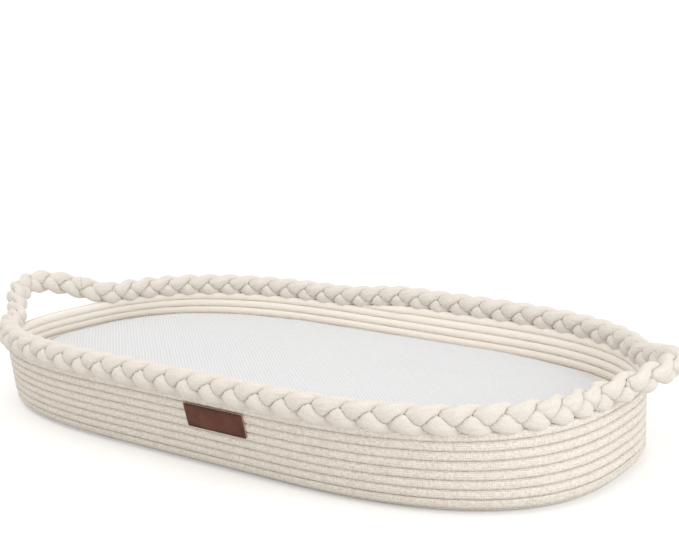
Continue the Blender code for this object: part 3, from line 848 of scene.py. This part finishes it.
def pad_envelope(name, inset):
    """The pad's closed outer form, drawn in everywhere by the inset."""
    top = pad_bottom + pad_thickness - inset
    low = pad_bottom + inset
    seam = pad_bottom + seam_height
    rings = [pad_ring(inset + pad_bottom_radius, low, share) for share in (0.25, 0.5, 0.75, 0.9)]
    for angle in np.linspace(0.0, np.pi / 2, 5):
        drawn = inset + side_draw + (pad_bottom_radius - inset) * (1 - np.sin(angle))
        rings.append(pad_ring(drawn, low + (pad_bottom_radius - inset) * (1 - np.cos(angle))))
    rings.append(pad_ring(inset + side_draw, seam))
    rings.append(pad_ring(inset, (seam + top - pad_top_radius) / 2))
    for angle in np.linspace(0.0, np.pi / 2, 7):
        drawn = inset + side_draw / 2 + (pad_top_radius - inset) * (1 - np.cos(angle))
        rings.append(pad_ring(drawn, top - (pad_top_radius - inset) * (1 - np.sin(angle))))
    for share in (0.93, 0.85, 0.7, 0.5, 0.25):
        rings.append(pad_ring(inset + pad_top_radius, top + pad_crown * (1 - share**2), share))
    count = len(rings)
    points = np.vstack(rings + [[[0.0, 0.0, low], [0.0, 0.0, top + pad_crown]]])
    faces = []
    for row in range(count - 1):
        for step in range(pad_ring_points):
            after = (step + 1) % pad_ring_points
            near, far = row * pad_ring_points, (row + 1) * pad_ring_points
            faces.append((near + step, near + after, far + after, far + step))
    last = (count - 1) * pad_ring_points
    for step in range(pad_ring_points):
        after = (step + 1) % pad_ring_points
        faces.append((after, step, len(points) - 2))
        faces.append((last + step, last + after, len(points) - 1))
    return mesh_piece(name, points, faces)


def points_of(mesh):
    points = np.empty(len(mesh.vertices) * 3, np.float32)
    mesh.vertices.foreach_get("co", points)
    return points.reshape(-1, 3).astype(float)


def place_points(mesh, points):
    mesh.vertices.foreach_set("co", points.astype(np.float32).ravel())


def swell(piece):
    """Lets the cover swell under a little pressure, so that its cloth settles over the foam."""
    make_active(piece)
    modify(piece, "REMESH", mode="VOXEL", voxel_size=cloth_voxel)
    at_start = points_of(piece.data)
    cloth = piece.modifiers.new("cloth", "CLOTH")
    cloth.settings.quality = 5
    cloth.settings.use_pressure = True
    cloth.settings.uniform_pressure_force = 4.0
    cloth.settings.effector_weights.gravity = 0.0
    cloth.settings.tension_stiffness = 20.0
    cloth.settings.bending_stiffness = 0.6
    cloth.point_cache.frame_start = 1
    cloth.point_cache.frame_end = cloth_frames
    for moment in range(1, cloth_frames + 1):
        bpy.context.scene.frame_set(moment)
    bpy.ops.object.modifier_apply(modifier="cloth")
    bpy.context.scene.frame_set(1)
    moved = points_of(piece.data) - at_start
    reach = np.linalg.norm(moved, axis=1)[:, None]
    moved *= np.minimum(1.0, cloth_cap / np.maximum(reach, 1e-9))
    place_points(piece.data, at_start + moved)


def settle_in_place(piece):
    """Draws the swollen cover out to the pad's outline, and in along the seam.

    It stays behind the flat faces that the zip and the tag are sewn to.
    """
    make_active(piece)
    modify(piece, "SUBSURF", levels=1)
    points = points_of(piece.data)
    half_width = pad_width / 2 - flat_side_inset
    points[:, 0] *= pad_length / 2 / np.abs(points[:, 0]).max()
    points[:, 1] *= (half_width + cover_overreach) / np.abs(points[:, 1]).max()
    points[:, 1] = np.clip(points[:, 1], -half_width, half_width)
    points[:, 2] = np.maximum(points[:, 2], pad_bottom)
    to_seam = (points[:, 2] - pad_bottom - seam_height) / seam_reach
    outward = side_directions(points)
    at_side = np.clip((side_share(points) - crease_from) / crease_run, 0.0, 1.0)
    points[:, :2] -= outward * (seam_crease * np.exp(-to_seam**2) * at_side)[:, None]
    place_points(piece.data, points)


def side_terms(points):
    """How far out points lie beyond the pad's straight middle, and to its side, as shares."""
    beyond = np.clip(np.abs(points[:, 0]) - straight_half, 0.0, None) / pad_end_length
    return beyond, np.abs(points[:, 1]) / (pad_width / 2)


def side_share(points):
    """How far out points lie on the pad's plan: 0 in the middle, 1 on its edge."""
    beyond, aside = side_terms(points)
    return (beyond**pad_squareness + aside**pad_squareness) ** (1 / pad_squareness)


def side_directions(points):
    """The directions straight out of the pad's plan."""
    beyond, aside = side_terms(points)
    x = np.sign(points[:, 0]) * beyond ** (pad_squareness - 1) / pad_end_length
    y = np.sign(points[:, 1]) * aside ** (pad_squareness - 1) / (pad_width / 2)
    return unit(np.stack([x, y], axis=1))


def cloth_map(piece):
    """A UV map in metres of cloth: flat over the pad, and on down its side past the edge."""
    points = points_of(piece.data)
    down = np.clip(pad_bottom + pad_thickness - points[:, 2], 0.0, None)
    down *= np.clip((side_share(points) - band_from) / band_run, 0.0, 1.0)
    flat = points[:, :2] + side_directions(points) * down[:, None]
    corner = np.empty(len(piece.data.loops), np.int32)
    piece.data.loops.foreach_get("vertex_index", corner)
    layer = piece.data.uv_layers.new(name="cloth")
    layer.data.foreach_set("uv", flat[corner].astype(np.float32).ravel())


def cut_at(piece, name, height, keep_above):
    """One side of a piece that is cut level, as a cloth panel with its own thickness."""
    panel = put_in(name, piece.data.copy())
    make_active(panel)
    bpy.ops.object.mode_set(mode="EDIT")
    bpy.ops.mesh.select_all(action="SELECT")
    bpy.ops.mesh.bisect(plane_co=(0.0, 0.0, height), plane_no=(0.0, 0.0, 1.0),
                        clear_inner=keep_above, clear_outer=not keep_above)
    bpy.ops.object.mode_set(mode="OBJECT")
    modify(panel, "SOLIDIFY", thickness=cover_thickness, offset=-1.0)
    bpy.ops.object.shade_smooth()
    return panel


def waffle_cotton():
    """White waffle cotton: slanting ridges, painted shade in the sunken cells, a fine weave, soft
    creases.
    """
    look, tree = new_look("waffle_cotton", 0.93, sheen=0.25, specular=0.2)
    uv = map_of(tree, "cloth")
    place = place_of(tree)
    warp = part_of(tree, "ShaderNodeTexNoise", Vector=place, Scale=28.0, Detail=2.0)[1]
    drift = part_of(tree, "ShaderNodeVectorMath", settings={"operation": "MULTIPLY_ADD"},
                    s0=warp, s1=(0.0022, 0.0022, 0.0), s2=uv)[0]
    split = axes_of(tree, drift)
    ridges = []
    for way in ("ADD", "SUBTRACT"):
        slant = product_of(tree, math_of(tree, way, split[0], split[1]), np.pi / waffle_cell)
        ridges.append(math_of(tree, "ABSOLUTE", math_of(tree, "COSINE", slant)))
    ridge = ramp_of(tree, math_of(tree, "SMOOTH_MAX", *ridges, 0.25), 0.45, 1.0)
    weave = product_of(
        tree, wave_of(tree, split[0], cover_weave), wave_of(tree, split[1], cover_weave))
    fuzz = noise_of(tree, place, 700.0, 3.0)
    crease = noise_of(tree, stretched(tree, place, (1.0, 1.0, 0.35)), 22.0, 3.0, Roughness=0.45)
    cloud = noise_of(tree, place, 9.0, 2.0)
    # Painted shade: the sunken cells are darker than the ridges round them.
    base = tint_of(tree, ridge, (0.62, 0.63, 0.66), (0.81, 0.82, 0.84))
    base = touched_up(tree, base, cloud, 0.35, 0.7, 0.25, (0.79, 0.80, 0.82))
    base = touched_up(tree, base, fuzz, 0.45, 0.7, 0.2, (0.86, 0.865, 0.88))
    relief = weighted(tree, weave, 0.06, ridge)
    relief = weighted(tree, fuzz, 0.25, relief)
    relief = weighted(tree, crease, 2.6, relief)
    return finished(look, base, relief, 0.6, 0.0009)


def foam_look():
    """Pale cut polyether foam with open pores."""
    look, tree = new_look("cut_foam", 0.95, specular=0.2)
    place = place_of(tree)
    pores = cells_of(tree, place, 900.0)
    cloud = noise_of(tree, place, 14.0, 2.0)
    base = graded(tree, pores, 0.1, 0.6, (0.66, 0.60, 0.42), (0.90, 0.86, 0.70))
    base = tint_of(tree, product_of(tree, cloud, 0.3), base, (0.92, 0.88, 0.74))
    return finished(look, base, pores, 0.6, 0.0005)


envelope = pad_envelope("pad_envelope", cloth_start_inset)
swell(envelope)
foam = put_in("foam_slab", envelope.data.copy())
make_active(foam)
bpy.ops.object.mode_set(mode="EDIT")
bpy.ops.mesh.select_all(action="SELECT")
bpy.ops.transform.shrink_fatten(value=-foam_inset)
bpy.ops.object.mode_set(mode="OBJECT")
bpy.ops.object.shade_smooth()
foam.data.materials.append(foam_look())
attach(foam, "pad")
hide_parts("pad_foam_core")

settle_in_place(envelope)
cover_look = waffle_cotton()
seam_z = pad_bottom + seam_height
top_cover = cut_at(envelope, "cover_top", seam_z + panel_gap, True)
bottom_cover = cut_at(envelope, "cover_bottom", seam_z - panel_gap, False)
bpy.data.objects.remove(envelope, do_unlink=True)
for panel, node in ((top_cover, "pad_cover_top"), (bottom_cover, "pad_cover_bottom")):
    cloth_map(panel)
    panel.data.materials.append(cover_look)
    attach(panel, "pad")
    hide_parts(node)


# The corded seam between the cover's two panels: a thin cord wrapped in a bias strip of plain
# white cotton, sewn in all the way round.

welt_inset = 0.0018
welt_points, welt_sides = 480, 10
bias_pitch = 0.0012


def closed_tube(name, line, radius, sides):
    """A round cord that closes on itself."""
    ahead = unit(np.roll(line, -1, axis=0) - np.roll(line, 1, axis=0))
    out = unit(np.stack([ahead[:, 1], -ahead[:, 0], 0 * ahead[:, 0]], axis=1))
    angle = 2 * np.pi * np.arange(sides) / sides
    up = np.array([0.0, 0.0, 1.0])
    rings = (
        line[:, None, :]
        + out[:, None, :] * (radius * np.cos(angle))[None, :, None]
        + up[None, None, :] * (radius * np.sin(angle))[None, :, None]
    )
    return rings_mesh(name, rings, lengths_round(line), closed=True)


def seam_cotton():
    look, tree = new_look("seam_cotton", 0.9, sheen=0.2, specular=0.2)
    along, round_ = axes_of(tree, map_of(tree, "along_and_round"))[:2]
    slant = weighted(tree, round_, 0.006, along)
    bias = wave_of(tree, slant, bias_pitch)
    pucker = noise_of(tree, place_of(tree), 240.0, 2.0)
    base = graded(tree, bias, -0.8, 0.8, (0.78, 0.785, 0.80), (0.90, 0.905, 0.91))
    return finished(look, base, weighted(tree, pucker, 2.0, bias), 0.5, 0.0002)


welt_turn = np.arange(welt_points) / welt_points
welt_x, welt_y = oval(pad_length / 2 - welt_inset, pad_width / 2 - welt_inset,
                      straight_half, pad_squareness, welt_turn)
welt_line = np.stack([welt_x, welt_y, np.full(len(welt_turn), seam_z)], axis=1)
welt = closed_tube("seam_cord", welt_line, welt_radius, welt_sides)
welt.data.materials.append(seam_cotton())
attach(welt, "pad")
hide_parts("pad_welt")


# The side tag: a blank black woven tape, folded over at its ends and sewn flat onto the band of
# the pad's front side. Its folded right end is painted with a pale band.

tag_length, tag_height, tag_thickness = 0.060, 0.028, 0.0010
tag_x = 0.054
tag_corner = 0.0004
tag_above_welt = 0.0006
tag_row, tag_column = 0.0006, 0.0009


def woven_black():
    look, tree = new_look("black_woven", 0.62, sheen=0.3, specular=0.35)
    place = place_of(tree)
    split = axes_of(tree, place)
    weave = product_of(
        tree, wave_of(tree, split[2], tag_row), wave_of(tree, split[0], tag_column))
    fuzz = noise_of(tree, place, 600.0, 3.0)
    base = graded(tree, weave, -0.6, 0.8, (0.006, 0.006, 0.006), (0.022, 0.022, 0.023))
    base = touched_up(tree, base, fuzz, 0.5, 0.75, 0.3, (0.045, 0.045, 0.047))
    tag_end = tag_x + tag_length / 2
    base = graded(tree, split[0], tag_end - 0.0022, tag_end - 0.0016, base, (0.72, 0.71, 0.69))
    return finished(look, base, weighted(tree, fuzz, 0.5, weave), 0.5, 0.00015)


tag_z = seam_z + welt_radius + tag_above_welt + tag_height / 2
tag = basic_piece("woven_tag", bpy.ops.mesh.primitive_cube_add,
                  (tag_length, tag_thickness, tag_height), size=1.0)
move_to(tag, (tag_x, -pad_width / 2 - sewn_on_gap - tag_thickness / 2, tag_z))
modify(tag, "BEVEL", width=tag_corner, segments=3)
bpy.ops.object.shade_smooth_by_angle(angle=np.radians(50))
tag.data.materials.append(woven_black())
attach(tag, "pad")
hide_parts("pad_side_tag")


# The zip on the pad's rear side: two woven tapes, a nylon coil of teeth between them, two metal
# stops, and a slider with a hanging pull. The tapes and the metal keep their solids' shapes.

teeth_length, teeth_thickness, teeth_pitch = 0.1694, 0.0012, 0.0015
zip_z = pad_bottom + 0.027
teeth_y = pad_width / 2 + sewn_on_gap + teeth_thickness / 2
coil_rise = 0.0011
tape_rib, tape_weave = 0.0015, 0.0007


def zip_tape_look():
    look, tree = new_look("zip_tape", 0.8, sheen=0.2, specular=0.3)
    split = axes_of(tree, place_of(tree))
    fold = math_of(tree, "ABSOLUTE", wave_of(tree, split[2], 2 * tape_rib))
    slant = weighted(tree, fold, 0.0008, split[0])
    rows = wave_of(tree, slant, tape_weave)
    base = graded(tree, rows, -0.7, 0.7, (0.70, 0.70, 0.71), (0.86, 0.86, 0.87))
    return finished(look, base, rows, 0.4, 0.0002)


def nylon_look():
    look, tree = new_look("zip_nylon", 0.35, specular=0.5)
    cloud = noise_of(tree, place_of(tree), 900.0, 2.0)
    base = graded(tree, cloud, 0.3, 0.7, (0.76, 0.76, 0.77), (0.90, 0.90, 0.91))
    return finished(look, base, cloud, 0.15, 0.0001)


def nickel_look():
    """Satin nickel plate with fine rubbed lines."""
    look, tree = new_look("satin_nickel", 0.32, metallic=1.0)
    lines = stretched(tree, place_of(tree), (4000.0, 4000.0, 500.0))
    rub = noise_of(tree, lines, 1.0, 3.0)
    base = graded(tree, rub, 0.3, 0.7, (0.52, 0.52, 0.54), (0.70, 0.70, 0.72))
    rough = ramp_of(tree, rub, 0.3, 0.7, 0.26, 0.42)
    return finished(look, base, rub, 0.1, 0.00005, roughness=rough)


def dress(node, look):
    """A solid that already has the right shape gets its material on its object's slot."""
    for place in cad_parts[node].material_slots:
        place.link = "OBJECT"
        place.material = look


teeth = basic_piece("zip_coil", bpy.ops.mesh.primitive_torus_add, (0.55, 1.0, 1.2),
                    major_segments=12, minor_segments=6, major_radius=0.0010,
                    minor_radius=0.00034)
teeth.rotation_euler = (np.radians(90), 0.0, 0.0)
bpy.ops.object.transform_apply(location=False, rotation=True, scale=False)
tooth_count = int(teeth_length / teeth_pitch)
repeat(teeth, tooth_count, (teeth_pitch, 0.0, 0.0))
repeat(teeth, 2, (teeth_pitch / 2, 0.0, coil_rise))
move_to(teeth, (-(tooth_count - 0.5) / 2 * teeth_pitch, teeth_y, zip_z - coil_rise / 2))
bpy.ops.object.shade_smooth()
teeth.data.materials.append(nylon_look())
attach(teeth, "pad")
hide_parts("zip_teeth")

tape_look, nickel = zip_tape_look(), nickel_look()
for node in ("zip_tape_upper", "zip_tape_lower"):
    dress(node, tape_look)
for node in ("zip_stop_left", "zip_stop_right", "zip_slider", "zip_pull"):
    dress(node, nickel)
